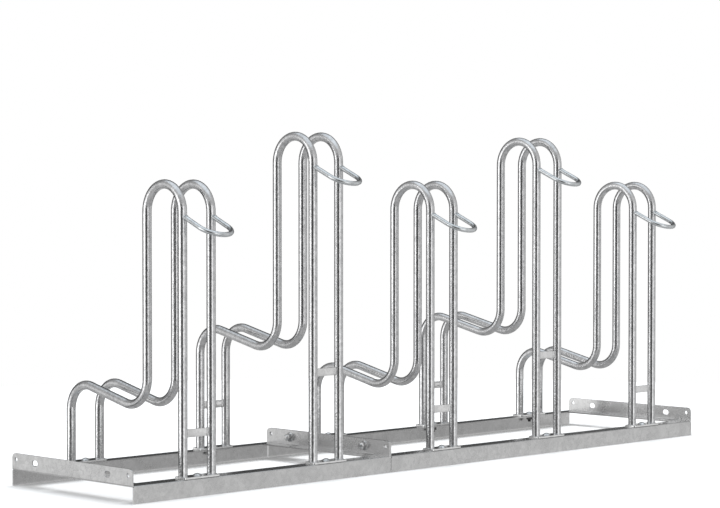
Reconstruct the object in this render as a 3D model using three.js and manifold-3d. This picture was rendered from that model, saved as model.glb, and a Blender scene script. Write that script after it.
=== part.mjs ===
// Floor bike rack for a row of wheels, in galvanised steel. Millimetres, +Z up.
//
// Two base units of angle steel are bolted end to end. Each wheel holder is a pair of equal
// bent tubes on two foot plates, bolted through the rails' flanges. Every second holder stands
// higher than its neighbours, so that handlebars don't meet. The wheel goes in from the rear,
// and the loops that a lock goes through stand out at the front.
//
// While the rack is built, X runs along the row from its left end, Y from the front face of the
// base to the rear, and Z up from the floor. The finished group is then moved, so that its
// origin is the middle of the space it takes up, on the floor.

import * as THREE from 'three';
import { mergeVertices, toCreasedNormals } from 'three/addons/utils/BufferGeometryUtils.js';
import Module from 'manifold-3d';

const wasm = await Module();
wasm.setup();

// ---------------------------------------------------------------- driving dimensions

// The row
const holderPitch = 350; // from the middle of one wheel holder to the next
const holdersPerUnit = [2, 3]; // wheel holders on each base unit, from the left
const highLift = 100; // how much higher every second holder stands

// Base units of folded angle steel
const baseDepth = 392; // front face of the front rail to rear face of the rear rail
const angleLeg = 35; // outside width of both legs of the angle
const angleThickness = 3;
const foldRadius = 4; // outside of the fold
const railEndGap = 1.5; // each rail stops this short of the ends of its unit
const crossbarEndGap = 2; // each crossbar stops this short of the base's front and rear faces
const crossbarCornerRadius = 10; // upper corners of the crossbar's upright leg
const drainHoleDiameter = 9; // near both ends of the upright leg
const drainHoleInset = 13.5; // from the crossbar's end to the hole's centre
const drainHoleDrop = 12.5; // from the crossbar's upper edge to the hole's centre
const anchorHoleDiameter = 19; // for fixing the rack to the floor
const anchorHoleInset = 17; // from the unit's end to the hole's centre
const anchorHoleStep = 28; // how far in front of the joining bolts the floor fixings are

// Bolts that join the units
const joinBoltDiameter = 10;
const joinSlotHeight = 12.5;
const joinSlotLength = 19; // lets the units slide to meet in line
const joinBoltInset = 76.5; // from the crossbar's end to the bolt
const joinBoltDrop = 15.5; // from the crossbar's upper edge to the bolt
const joinHexWidth = 15; // across the flats
const joinHeadHeight = 7;
const joinNutHeight = 8;
const joinFlangeDiameter = 21.5;
const joinFlangeThickness = 2;
const joinBoltStandOut = 4.5; // thread that shows past the nut

// Bent tubes of a wheel holder
const tubeDiameter = 18.5;
const tubeWall = 2;
const tyreGap = 55; // clear width between the two tubes
const legInset = 17; // from the base's front and rear faces to the legs' axes
const bendRadius = 54.5; // centre line of every bend
const lowHoopHeight = 621.5; // floor to the top of a low hoop
const lowSaddleHeight = 161.5; // floor to the underside of the lowest bend
const lowRearHeight = 210; // floor to the top of the rear bend

// Flat straps between the tubes
const strapHeight = 16;
const strapThickness = 4;
const lowFrontStrapHeight = 123.5; // floor to the middle of the front strap
const rearStrapHeight = 132; // floor to the middle of the rear strap of a high holder

// Loop of round bar for a lock
const loopBarDiameter = 10;
const loopLegLength = 54.5; // from the tube's axis to where the loop starts to turn
const loopSlope = THREE.MathUtils.degToRad(24); // down towards the front
const loopDrop = 70.5; // from the hoop's top down to where the bar's axis meets the tube's

// Foot plates and their bolts
const footDepth = 32;
const footFaceInset = 0.5; // from the base's front and rear faces to the plates
const footThickness = 4;
const footOverhang = 0.75; // past the outer sides of the tubes
const footCornerRadius = 5;
const footBoltDiameter = 8;
const footHoleDiameter = 9;
const footNeckWidth = 8; // square neck under the round head
const footHeadDiameter = 19;
const footHeadHeight = 4.6;
const footNutWidth = 13; // across the flats
const footNutHeight = 6.5;
const footWasherDiameter = 17; // flange of the nut
const footWasherThickness = 1.5;
const footBoltStandOut = 5; // thread that shows under the nut

// Clearances
const seatGap = 0.1; // between flat faces that rest on or are welded to each other
const cutGap = 0.3; // around a piece that is cut to fit a round neighbour, or passes a hole

// Fineness of round shapes
const tubeSides = 12;
const tubeBoreSides = 6;
const barSides = 12;
const holeSides = 12;
const bendStep = THREE.MathUtils.degToRad(22.6); // most that a tube turns from ring to ring
const cornerSteps = 3; // segments in a rounded corner

// ---------------------------------------------------------------- sizes that follow

const tubeRadius = tubeDiameter / 2;
const tubeOffset = (tyreGap + tubeDiameter) / 2; // middle of a holder to a tube's axis
const frontLegY = legInset;
const rearLegY = baseDepth - legInset;
const footShift = footFaceInset + footDepth / 2 - legInset; // plate's middle inwards of the legs
const flangeTop = angleLeg;
const flangeBottom = flangeTop - angleThickness;
const crossbarBottom = flangeBottom;
const crossbarTop = crossbarBottom + angleLeg;
const crossbarLength = baseDepth - 2 * crossbarEndGap;
const footBottom = flangeTop + seatGap;
const footTop = footBottom + footThickness;
const legBottom = footTop + seatGap;
const joinBoltZ = crossbarTop - joinBoltDrop;
const joinBoltYs = [crossbarEndGap + joinBoltInset, baseDepth - crossbarEndGap - joinBoltInset];

const X = new THREE.Vector3(1, 0, 0);
const Y = new THREE.Vector3(0, 1, 0);
const Z = new THREE.Vector3(0, 0, 1);
const minus = (direction) => direction.clone().negate();

// ---------------------------------------------------------------- finishes

const finishes = {
  tube: { color: 0xb6babb, roughness: 0.38, metalness: 0.85 },
  angle: { color: 0xa9acac, roughness: 0.55, metalness: 0.7 },
  flat: { color: 0xb0b3b3, roughness: 0.5, metalness: 0.75 },
  bar: { color: 0xbcc3c7, roughness: 0.34, metalness: 0.85 },
  fastener: { color: 0x9fa3a5, roughness: 0.42, metalness: 0.85 },
};

/** A named mesh with its own material, its geometry shaded flat across sharp edges. */
function piece(name, finish, geometry, x = 0, y = 0, z = 0) {
  const sharpEdge = THREE.MathUtils.degToRad(35);
  const mesh = new THREE.Mesh(
    toCreasedNormals(geometry, sharpEdge),
    new THREE.MeshStandardMaterial({ name: finish, ...finishes[finish] }),
  );
  mesh.name = name;
  mesh.position.set(x, y, z);
  return mesh;
}

// ---------------------------------------------------------------- joining and cutting

/** The closed solid that a geometry bounds. */
function toSolid(geometry) {
  const bare = geometry.clone();
  bare.deleteAttribute('normal');
  bare.deleteAttribute('uv');
  const merged = mergeVertices(bare);
  return new wasm.Manifold(new wasm.Mesh({
    numProp: 3,
    vertProperties: merged.getAttribute('position').array,
    triVerts: new Uint32Array(merged.getIndex().array),
  }));
}

/** The geometry of a solid's surface. */
function toGeometry(solid) {
  const mesh = solid.getMesh();
  const geometry = new THREE.BufferGeometry();
  geometry.setAttribute('position', new THREE.BufferAttribute(mesh.vertProperties, 3));
  geometry.setIndex(new THREE.BufferAttribute(mesh.triVerts, 1));
  return geometry;
}

function join(...geometries) {
  return toGeometry(geometries.map(toSolid).reduce((all, next) => all.add(next)));
}

function cut(geometry, ...tools) {
  return toGeometry(tools.map(toSolid).reduce((left, tool) => left.subtract(tool), toSolid(geometry)));
}

function keepInside(geometry, outline) {
  return toGeometry(toSolid(geometry).intersect(toSolid(outline)));
}

// ---------------------------------------------------------------- basic shapes

/** A cylinder or prism on the given axis, from one distance along it to another. */
function rod(axis, radius, from, to, x = 0, y = 0, z = 0, sides = holeSides) {
  const geometry = new THREE.CylinderGeometry(radius, radius, to - from, sides);
  geometry.applyQuaternion(new THREE.Quaternion().setFromUnitVectors(Y, axis));
  const middle = axis.clone().multiplyScalar((from + to) / 2);
  return geometry.translate(middle.x + x, middle.y + y, middle.z + z);
}

/** A hexagon across the given flats, as a prism on an axis. */
function hexagon(axis, acrossFlats, from, to) {
  const sides = 6;
  return rod(axis, acrossFlats / 2 / Math.cos(Math.PI / sides), from, to, 0, 0, 0, sides);
}

/** A round hole's tool: it runs well past a plate on both sides of the given place. */
function drill(axis, diameter, x, y, z) {
  const reach = angleLeg / 2;
  return rod(axis, diameter / 2, -reach, reach, x, y, z);
}

/** The tools for a slot along Y, through an upright plate on the X axis. */
function slotTools(length, height, y, z) {
  const shift = (length - height) / 2;
  return [
    drill(X, height, 0, y - shift, z),
    drill(X, height, 0, y + shift, z),
    new THREE.BoxGeometry(angleLeg, 2 * shift, height).translate(0, y, z),
  ];
}

/** A rectangle centred on the origin, with all four corners rounded. */
function roundedRectangle(width, height, radius) {
  const right = width / 2 - radius;
  const top = height / 2 - radius;
  const outline = new THREE.Shape();
  outline.absarc(right, top, radius, 0, Math.PI / 2);
  outline.absarc(-right, top, radius, Math.PI / 2, Math.PI);
  outline.absarc(-right, -top, radius, Math.PI, 1.5 * Math.PI);
  outline.absarc(right, -top, radius, 1.5 * Math.PI, 2 * Math.PI);
  return outline;
}

/** A round section for a sweep, with a vertex on each main direction. */
function circlePoints(radius, sides) {
  return Array.from({ length: sides }, (_, i) => {
    const angle = (2 * Math.PI * i) / sides;
    return new THREE.Vector2(radius * Math.cos(angle), radius * Math.sin(angle));
  });
}

/** Points and directions along a flat route: the ends of straights, and steps round the bends. */
function stationsAlong(route) {
  const samePlace = 1e-6;
  const stations = [];
  for (const curve of route.curves) {
    const turn = curve.isEllipseCurve ? curve.getLength() / curve.xRadius : 0;
    const steps = Math.max(1, Math.ceil(turn / bendStep));
    for (let i = 0; i <= steps; i += 1) {
      const point = curve.getPoint(i / steps);
      const last = stations.at(-1);
      if (!last || last.point.distanceTo(point) > samePlace) {
        stations.push({ point, direction: curve.getTangent(i / steps) });
      }
    }
  }
  return stations;
}

/**
 * A closed bar or tube of constant section along a flat route. `across` and `up` are the
 * directions in space of the route's two axes. The section's first axis is square to the route,
 * in its plane, and its second axis is square to that plane. `bore` makes it a tube.
 */
function sweep(route, outer, bore, across, up) {
  const side = new THREE.Vector3().crossVectors(across, up);
  const inSpace = (flat) => across.clone().multiplyScalar(flat.x).addScaledVector(up, flat.y);
  const section = [...outer, ...bore];
  const positions = [];
  const faces = [];
  const stations = stationsAlong(route);
  for (const { point, direction } of stations) {
    const normal = inSpace(new THREE.Vector2(direction.y, -direction.x));
    for (const corner of section) {
      const vertex = inSpace(point).addScaledVector(normal, corner.x).addScaledVector(side, -corner.y);
      positions.push(vertex.x, vertex.y, vertex.z);
    }
  }
  const addWall = (first, count, inward) => {
    for (let ring = 0; ring < stations.length - 1; ring += 1) {
      for (let i = 0; i < count; i += 1) {
        const a = ring * section.length + first + i;
        const b = ring * section.length + first + ((i + 1) % count);
        const c = b + section.length;
        const d = a + section.length;
        faces.push(...(inward ? [a, c, b, a, d, c] : [a, b, c, a, c, d]));
      }
    }
  };
  addWall(0, outer.length, false);
  addWall(outer.length, bore.length, true);
  const lastRing = (stations.length - 1) * section.length;
  for (const [a, b, c] of THREE.ShapeUtils.triangulateShape(outer, bore.length ? [bore] : [])) {
    faces.push(a, c, b);
    faces.push(lastRing + a, lastRing + b, lastRing + c);
  }
  const geometry = new THREE.BufferGeometry();
  geometry.setAttribute('position', new THREE.Float32BufferAttribute(positions, 3));
  geometry.setIndex(faces);
  return geometry;
}

// ---------------------------------------------------------------- base units

/**
 * Folded angle steel. The outside of its fold lies on the origin's corner, its two legs point
 * along legA and legB, and it runs from the origin along the cross product of the two.
 */
function angleSteel(length, legA, legB) {
  const innerRadius = Math.max(foldRadius - angleThickness, angleThickness / 4);
  const outline = new THREE.Shape();
  outline.moveTo(angleLeg, 0);
  outline.lineTo(angleLeg, angleThickness);
  const inner = angleThickness + innerRadius;
  outline.lineTo(inner, angleThickness);
  outline.absarc(inner, inner, innerRadius, 1.5 * Math.PI, Math.PI, true);
  outline.lineTo(angleThickness, angleLeg);
  outline.lineTo(0, angleLeg);
  outline.lineTo(0, foldRadius);
  outline.absarc(foldRadius, foldRadius, foldRadius, Math.PI, 1.5 * Math.PI);
  outline.closePath();
  const bar = new THREE.ExtrudeGeometry(outline, {
    depth: length,
    bevelEnabled: false,
    curveSegments: cornerSteps,
  });
  const along = new THREE.Vector3().crossVectors(legA, legB);
  return bar.applyMatrix4(new THREE.Matrix4().makeBasis(legA, legB, along));
}

/**
 * A rail, with its upright leg outwards and its flange on top, drilled for the holders' bolts.
 * The top of each end is notched, where the crossbar's upright leg passes.
 */
function rail(name, unit, isFront) {
  const start = unit.start + railEndGap;
  const length = unit.end - railEndGap - start;
  const legs = isFront ? [minus(Z), Y] : [minus(Y), minus(Z)];
  const boltY = isFront ? frontLegY : rearLegY;
  const cornerY = isFront ? 0 : baseDepth;
  const holes = unit.holders.map((holder) => (
    drill(Z, footHoleDiameter, holder.x - start, boltY - cornerY, -angleThickness / 2)
  ));
  const lap = angleThickness + seatGap;
  const notches = [0, length].map((end) => (
    new THREE.BoxGeometry(2 * (lap - railEndGap), 3 * angleLeg, 2 * lap).translate(end, 0, 0)
  ));
  const bar = cut(angleSteel(length, ...legs), ...holes, ...notches);
  return piece(name, 'angle', bar, start, cornerY, flangeTop);
}

/**
 * A crossbar at one end of a unit. Its upright leg laps the ends of both rails' flanges and
 * holds the joining bolts. Its flat leg is cut short, to lie level between the two flanges.
 */
function crossbar(name, unit, isLeft) {
  const legs = isLeft ? [Z, X] : [minus(X), Z];
  const inward = isLeft ? 1 : -1;
  const outline = new THREE.Shape();
  const farEnd = crossbarLength - crossbarCornerRadius;
  const shoulder = angleLeg - crossbarCornerRadius;
  outline.moveTo(0, 0);
  outline.lineTo(crossbarLength, 0);
  outline.lineTo(crossbarLength, shoulder);
  outline.absarc(farEnd, shoulder, crossbarCornerRadius, 0, Math.PI / 2);
  outline.lineTo(crossbarCornerRadius, angleLeg);
  outline.absarc(crossbarCornerRadius, shoulder, crossbarCornerRadius, Math.PI / 2, Math.PI);
  outline.closePath();
  const outlineDepth = 3 * angleLeg;
  const envelope = new THREE.ExtrudeGeometry(outline, {
    depth: outlineDepth,
    bevelEnabled: false,
    curveSegments: cornerSteps,
  });
  envelope.translate(0, 0, -outlineDepth / 2);
  envelope.applyMatrix4(new THREE.Matrix4().makeBasis(Y, Z, X));
  const drainZ = angleLeg - drainHoleDrop;
  const drains = [drainHoleInset, crossbarLength - drainHoleInset].map((y) => (
    drill(X, drainHoleDiameter, 0, y, drainZ)
  ));
  const joins = joinBoltYs.flatMap((y) => (
    slotTools(joinSlotLength, joinSlotHeight, y - crossbarEndGap, joinBoltZ - crossbarBottom)
  ));
  const anchors = joinBoltYs.map((y) => (
    drill(Z, anchorHoleDiameter, inward * anchorHoleInset, y - crossbarEndGap - anchorHoleStep, 0)
  ));
  const notchSize = 2 * (angleLeg - crossbarEndGap + cutGap);
  const notches = [0, crossbarLength].map((y) => {
    const notch = new THREE.BoxGeometry(2 * angleLeg, notchSize, angleLeg);
    return notch.translate(inward * (angleLeg + angleThickness), y, 0);
  });
  const bar = keepInside(angleSteel(crossbarLength, ...legs), envelope);
  const end = isLeft ? unit.start : unit.end;
  return piece(
    name,
    'angle',
    cut(bar, ...notches, ...drains, ...joins, ...anchors),
    end,
    crossbarEndGap,
    crossbarBottom,
  );
}

// ---------------------------------------------------------------- wheel holders

/** One bent tube: front leg, hoop, lowest bend, slope up to the rear bend, and rear leg. */
function bentTube(name, x, lift) {
  const hoop = new THREE.Vector2(frontLegY + bendRadius, lowHoopHeight + lift - tubeRadius - bendRadius);
  const saddle = new THREE.Vector2(hoop.x + 2 * bendRadius, lowSaddleHeight + lift + tubeRadius + bendRadius);
  const rear = new THREE.Vector2(rearLegY - bendRadius, lowRearHeight + lift - tubeRadius - bendRadius);
  const centres = rear.clone().sub(saddle);
  const slope = Math.atan2(centres.y, centres.x) + Math.asin((2 * bendRadius) / centres.length());
  const route = new THREE.Path();
  route.moveTo(frontLegY, legBottom);
  route.lineTo(frontLegY, hoop.y);
  route.absarc(hoop.x, hoop.y, bendRadius, Math.PI, 0, true);
  route.absarc(saddle.x, saddle.y, bendRadius, Math.PI, 1.5 * Math.PI + slope);
  route.absarc(rear.x, rear.y, bendRadius, Math.PI / 2 + slope, 0, true);
  route.lineTo(rearLegY, legBottom);
  const outer = circlePoints(tubeRadius, tubeSides);
  const bore = circlePoints(tubeRadius - tubeWall, tubeBoreSides);
  return piece(name, 'tube', sweep(route, outer, bore, Y, Z), x);
}

/** The U-shaped bar that a lock goes through, its ends cut to fit the two front legs. */
function lockLoop(name, x, lift) {
  const route = new THREE.Path();
  route.moveTo(0, -tubeOffset);
  route.lineTo(loopLegLength, -tubeOffset);
  route.absarc(loopLegLength, 0, tubeOffset, -Math.PI / 2, Math.PI / 2);
  route.lineTo(0, tubeOffset);
  const downwards = new THREE.Vector3(0, -Math.cos(loopSlope), -Math.sin(loopSlope));
  const bar = sweep(route, circlePoints(loopBarDiameter / 2, barSides), [], downwards, X);
  const cutterRadius = (tubeRadius + cutGap) / Math.cos(Math.PI / holeSides);
  const reach = loopBarDiameter;
  const legs = [-tubeOffset, tubeOffset].map((legX) => rod(Z, cutterRadius, -reach, reach, legX));
  return piece(name, 'bar', cut(bar, ...legs), x, frontLegY, lowHoopHeight + lift - loopDrop);
}

/** A flat strap, upright on its edge between the two tubes. */
function strap(name, x, y, z) {
  const length = tyreGap - 2 * seatGap;
  return piece(name, 'flat', new THREE.BoxGeometry(length, strapThickness, strapHeight), x, y, z);
}

/**
 * The plate under a pair of legs, with a square hole for its bolt's neck. The hole is between
 * the legs. `inward` is the direction in Y towards the middle of the base.
 */
function footPlate(name, x, legY, inward) {
  const length = 2 * (tubeOffset + tubeRadius + footOverhang);
  const outline = roundedRectangle(length, footDepth, footCornerRadius);
  const half = footNeckWidth / 2 + cutGap;
  const holeY = -inward * footShift;
  outline.holes.push(new THREE.Path([
    new THREE.Vector2(-half, holeY - half),
    new THREE.Vector2(-half, holeY + half),
    new THREE.Vector2(half, holeY + half),
    new THREE.Vector2(half, holeY - half),
  ]));
  const plate = new THREE.ExtrudeGeometry(outline, {
    depth: footThickness,
    bevelEnabled: false,
    curveSegments: cornerSteps,
  });
  return piece(name, 'flat', plate, x, legY - holeY, footBottom);
}

/**
 * The bolt that holds a foot plate to the rail, with its nut run up under the flange. The two
 * are one closed body, because the nut's thread leaves no room between them.
 */
function footBolt(name, x, y) {
  const headSteps = 3;
  const headRadius = footHeadDiameter / 2;
  const capRadius = (headRadius ** 2 + footHeadHeight ** 2) / (2 * footHeadHeight);
  const capAngle = Math.asin(headRadius / capRadius);
  const profile = Array.from({ length: headSteps + 1 }, (_, i) => {
    const angle = capAngle * (1 - i / headSteps);
    const height = capRadius * Math.cos(angle) + footHeadHeight - capRadius;
    return new THREE.Vector2(i === headSteps ? 0 : capRadius * Math.sin(angle), height);
  });
  const head = new THREE.LatheGeometry([new THREE.Vector2(0, 0), ...profile], holeSides);
  head.applyQuaternion(new THREE.Quaternion().setFromUnitVectors(Y, Z));
  const headBottom = footTop + seatGap;
  head.translate(0, 0, headBottom);
  const overlap = 0.5;
  const neck = new THREE.BoxGeometry(footNeckWidth, footNeckWidth, footThickness + overlap);
  neck.translate(0, 0, headBottom - footThickness / 2 + overlap / 2);
  const nutTop = flangeBottom - seatGap;
  const hexTop = nutTop - footWasherThickness;
  const nutBottom = hexTop - footNutHeight;
  const flange = rod(Z, footWasherDiameter / 2, hexTop - overlap, nutTop);
  const nut = hexagon(Z, footNutWidth, nutBottom, hexTop);
  const shank = rod(Z, footBoltDiameter / 2, nutBottom - footBoltStandOut, headBottom + overlap);
  return piece(name, 'fastener', join(head, neck, shank, flange, nut), x, y, 0);
}

/** Every piece of one wheel holder. */
function wheelHolder(number, x, isHigh) {
  const lift = isHigh ? highLift : 0;
  const name = `holder_${number}`;
  const pieces = [
    bentTube(`${name}_left_tube`, x - tubeOffset, lift),
    bentTube(`${name}_right_tube`, x + tubeOffset, lift),
    lockLoop(`${name}_lock_loop`, x, lift),
    strap(`${name}_front_strap`, x, frontLegY, lowFrontStrapHeight + lift),
    footPlate(`${name}_front_foot`, x, frontLegY, 1),
    footPlate(`${name}_rear_foot`, x, rearLegY, -1),
    footBolt(`${name}_front_bolt`, x, frontLegY),
    footBolt(`${name}_rear_bolt`, x, rearLegY),
  ];
  if (isHigh) {
    pieces.push(strap(`${name}_rear_strap`, x, rearLegY, rearStrapHeight));
  }
  return pieces;
}

// ---------------------------------------------------------------- bolts between two units

/** The flanged bolt: head on the right-hand unit, thread through to the left. */
function joinBolt(name, x, y) {
  const grip = angleThickness + 1.5 * seatGap;
  const flangeEnd = grip + joinFlangeThickness;
  const tip = -(grip + joinFlangeThickness + joinNutHeight + joinBoltStandOut);
  const overlap = 0.5;
  const flange = rod(X, joinFlangeDiameter / 2, grip, flangeEnd + overlap);
  const head = hexagon(X, joinHexWidth, flangeEnd, flangeEnd + joinHeadHeight);
  const shank = rod(X, joinBoltDiameter / 2, tip, grip + overlap);
  return piece(name, 'fastener', join(flange, head, shank), x, y, joinBoltZ);
}

/** The flanged nut on the left-hand unit. */
function joinNut(name, x, y) {
  const grip = angleThickness + 1.5 * seatGap;
  const flangeEnd = grip + joinFlangeThickness;
  const nutEnd = flangeEnd + joinNutHeight;
  const overlap = 0.5;
  const flange = rod(minus(X), joinFlangeDiameter / 2, grip, flangeEnd + overlap);
  const hex = hexagon(minus(X), joinHexWidth, flangeEnd, nutEnd);
  const bore = drill(X, joinBoltDiameter + 2 * cutGap, -nutEnd / 2, 0, 0);
  return piece(name, 'fastener', cut(join(flange, hex), bore), x, y, joinBoltZ);
}

// ---------------------------------------------------------------- the rack

const rack = new THREE.Group();
rack.name = 'floor_bike_rack';

let unitStart = 0;
let holderCount = 0;
holdersPerUnit.forEach((count, index) => {
  const holders = Array.from({ length: count }, (_, i) => ({
    number: holderCount + i + 1,
    x: unitStart + (i + 0.5) * holderPitch,
  }));
  const unitEnd = unitStart + count * holderPitch;
  const unit = { start: unitStart + seatGap / 2, end: unitEnd - seatGap / 2, holders };
  const name = `base_${index + 1}`;
  rack.add(
    rail(`${name}_front_rail`, unit, true),
    rail(`${name}_rear_rail`, unit, false),
    crossbar(`${name}_left_crossbar`, unit, true),
    crossbar(`${name}_right_crossbar`, unit, false),
  );
  for (const holder of holders) {
    const isHigh = holder.number % 2 === 0;
    rack.add(...wheelHolder(holder.number, holder.x, isHigh));
  }
  if (index < holdersPerUnit.length - 1) {
    joinBoltYs.forEach((y, i) => {
      const place = `join_${index + 1}_${i === 0 ? 'front' : 'rear'}`;
      rack.add(joinBolt(`${place}_bolt`, unitEnd, y), joinNut(`${place}_nut`, unitEnd, y));
    });
  }
  unitStart = unitEnd;
  holderCount += count;
});

const loopReach = (loopLegLength + tubeOffset) * Math.cos(loopSlope) + loopBarDiameter / 2;
const frontMost = frontLegY - loopReach;
rack.position.set(-unitStart / 2, -(frontMost + baseDepth) / 2, 0);

export default rack;
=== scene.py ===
"""The looks of a floor bike rack in hot-dip galvanised steel.

Two base units of angle steel carry five holders, each a pair of bent tubes with a lock loop.
Sizes are in millimetres in the rack's own frame: X along the row from its left end, Y from the
front face of the base to the rear, Z up from the floor. Meshes are moved to the part's frame,
in metres, when they are finished.
"""

import logging
import math
from collections.abc import Iterable
from dataclasses import dataclass, field
from enum import Enum

import bmesh
import bpy
from bmesh.types import BMEdge, BMVert
from bpy.types import NodeSocket, NodeTree, Object
from mathutils import Matrix, Vector

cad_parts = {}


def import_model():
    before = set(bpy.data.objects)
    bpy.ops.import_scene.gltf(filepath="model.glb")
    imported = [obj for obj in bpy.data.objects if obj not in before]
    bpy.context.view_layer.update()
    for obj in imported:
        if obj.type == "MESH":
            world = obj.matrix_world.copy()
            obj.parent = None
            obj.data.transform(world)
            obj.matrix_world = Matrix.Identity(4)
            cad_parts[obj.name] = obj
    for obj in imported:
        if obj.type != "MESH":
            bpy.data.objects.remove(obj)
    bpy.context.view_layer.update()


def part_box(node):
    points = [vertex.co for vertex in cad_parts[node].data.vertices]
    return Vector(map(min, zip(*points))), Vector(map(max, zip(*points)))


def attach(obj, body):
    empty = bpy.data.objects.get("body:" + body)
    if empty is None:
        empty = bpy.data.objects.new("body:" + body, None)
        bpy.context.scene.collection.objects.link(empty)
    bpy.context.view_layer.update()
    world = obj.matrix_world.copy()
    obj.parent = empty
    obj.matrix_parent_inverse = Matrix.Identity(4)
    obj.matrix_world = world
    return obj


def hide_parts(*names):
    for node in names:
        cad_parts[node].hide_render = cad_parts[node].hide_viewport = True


LOG = logging.getLogger("bike_rack")
MM = 0.001
SAME_PLACE = 0.001  # millimetres between corners that count as one
NEARLY = 0.01  # millimetres that a corner may be off a line or a plane
CORNER_STEPS = 8  # segments in a round corner
ROUND_SIDES = 40  # sides of tubes, holes and round heads
EASE_STEPS = 2  # segments in an eased edge
BODY = "root"
WHITE = (1.0, 1.0, 1.0, 1.0)
X_AXIS = Vector((1.0, 0.0, 0.0))
Y_AXIS = Vector((0.0, 1.0, 0.0))
Z_AXIS = Vector((0.0, 0.0, 1.0))


# ------------------------------------------------------------------ choices


class Height(Enum):
    """How much a holder is raised, in millimetres."""

    LOW = 0.0
    HIGH = 100.0


class End(Enum):
    """Which end of a unit a crossbar is at: the direction of its flat leg along X."""

    LEFT = 1.0
    RIGHT = -1.0


class Face(Enum):
    """Which side of the base a piece belongs to: the direction inwards along Y."""

    FRONT = 1.0
    REAR = -1.0


# ------------------------------------------------------------------ sizes


@dataclass(frozen=True)
class RackSizes:
    """The sizes that several pieces share, in millimetres."""

    pitch: float = 350.0
    holders_per_unit: tuple[int, ...] = (2, 3)
    base_depth: float = 392.0
    leg_inset: float = 17.0
    angle_leg: float = 35.0
    angle_thickness: float = 3.0
    tube_radius: float = 9.25
    tube_offset: float = 36.75
    hoop_top: float = 621.5
    plate_thickness: float = 4.0
    seat_gap: float = 0.1

    @property
    def plate_bottom(self) -> float:
        """Height of the foot plates' undersides."""
        return self.angle_leg + self.seat_gap

    @property
    def plate_top(self) -> float:
        """Height that the legs stand at."""
        return self.plate_bottom + self.plate_thickness

    @property
    def crossbar_bottom(self) -> float:
        """Height of the crossbars' lower edges."""
        return self.angle_leg - self.angle_thickness

    def leg(self, face: Face) -> float:
        """Y of the legs on one side of the base."""
        inset = self.leg_inset
        return inset if face is Face.FRONT else self.base_depth - inset


SIZES = RackSizes()


def rack_origin() -> Vector:
    """Finds the rack's own origin in the part's frame.

    Returns:
        The left end of the base's front face, on the floor, in metres.
    """
    crossbar_low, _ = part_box("base_1_left_crossbar")
    rail_low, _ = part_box("base_1_front_rail")
    return Vector((crossbar_low.x - SIZES.seat_gap / 2 * MM, rail_low.y, 0.0))


# ------------------------------------------------------------------ materials


def linear(hex_colour: str) -> tuple[float, float, float, float]:
    """Turns an sRGB colour into the linear one that the shaders use.

    Args:
        hex_colour: Six hexadecimal digits.

    Returns:
        Red, green, blue and an alpha of 1.
    """
    channels = (int(hex_colour[i:i + 2], 16) / 255 for i in (0, 2, 4))
    red, green, blue = (
        c / 12.92 if c <= 0.04045 else ((c + 0.055) / 1.055) ** 2.4 for c in channels
    )
    return red, green, blue, 1.0


def add_node(
    tree: NodeTree, kind: str, inputs: dict[str | int, object] | None = None, **settings: object
) -> bpy.types.Node:
    """Adds one shader node.

    Args:
        tree: The node tree that it goes in.
        kind: The node's type, without the words that all shader nodes start with.
        inputs: Values of its input sockets, or the output sockets that feed them.
        settings: Values of the node's own properties.

    Returns:
        The new node.
    """
    node = tree.nodes.new(f"ShaderNode{kind}")
    for name, value in settings.items():
        setattr(node, name, value)
    for key, value in (inputs or {}).items():
        socket = node.inputs[key]
        if isinstance(value, NodeSocket):
            tree.links.new(value, socket)
        else:
            socket.default_value = value
    return node


def maths(tree: NodeTree, operation: str, *values: float | NodeSocket) -> NodeSocket:
    """Adds one sum of numbers or sockets, and gives its result."""
    return add_node(tree, "Math", dict(enumerate(values)), operation=operation).outputs[0]


def blend(tree: NodeTree, share: NodeSocket, first: object, second: object) -> NodeSocket:
    """Goes from one colour to another, by the share that shows of the second."""
    inputs = {"Factor": share, 6: first, 7: second}
    return add_node(tree, "Mix", inputs, data_type="RGBA").outputs[2]


def ranged(
    tree: NodeTree,
    value: NodeSocket,
    span: tuple[float, float],
    result: tuple[float, float] = (0.0, 1.0),
    curve: str = "LINEAR",
) -> NodeSocket:
    """Maps a span of values to another, and holds what is outside it.

    Args:
        tree: The node tree.
        value: The value.
        span: Where the change starts and ends.
        result: What the two ends become.
        curve: How it goes between them.

    Returns:
        The mapped value.
    """
    names = ("Value", "From Min", "From Max", "To Min", "To Max")
    inputs = dict(zip(names, (value, *span, *result)))
    return add_node(tree, "MapRange", inputs, interpolation_type=curve).outputs["Result"]


def empty_tree(owner: bpy.types.Material | bpy.types.World) -> NodeTree:
    """Gives a material or a world an empty node tree."""
    owner.use_nodes = True
    owner.node_tree.nodes.clear()
    return owner.node_tree


def add_object(name: str, data: bpy.types.ID) -> Object:
    """Makes an object and puts it in the scene."""
    made = bpy.data.objects.new(name, data)
    bpy.context.scene.collection.objects.link(made)
    return made


def per_metre(size_mm: float) -> float:
    """The texture scale at which one cell of a pattern is this many millimetres wide."""
    return 1.0 / (size_mm * MM)


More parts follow.
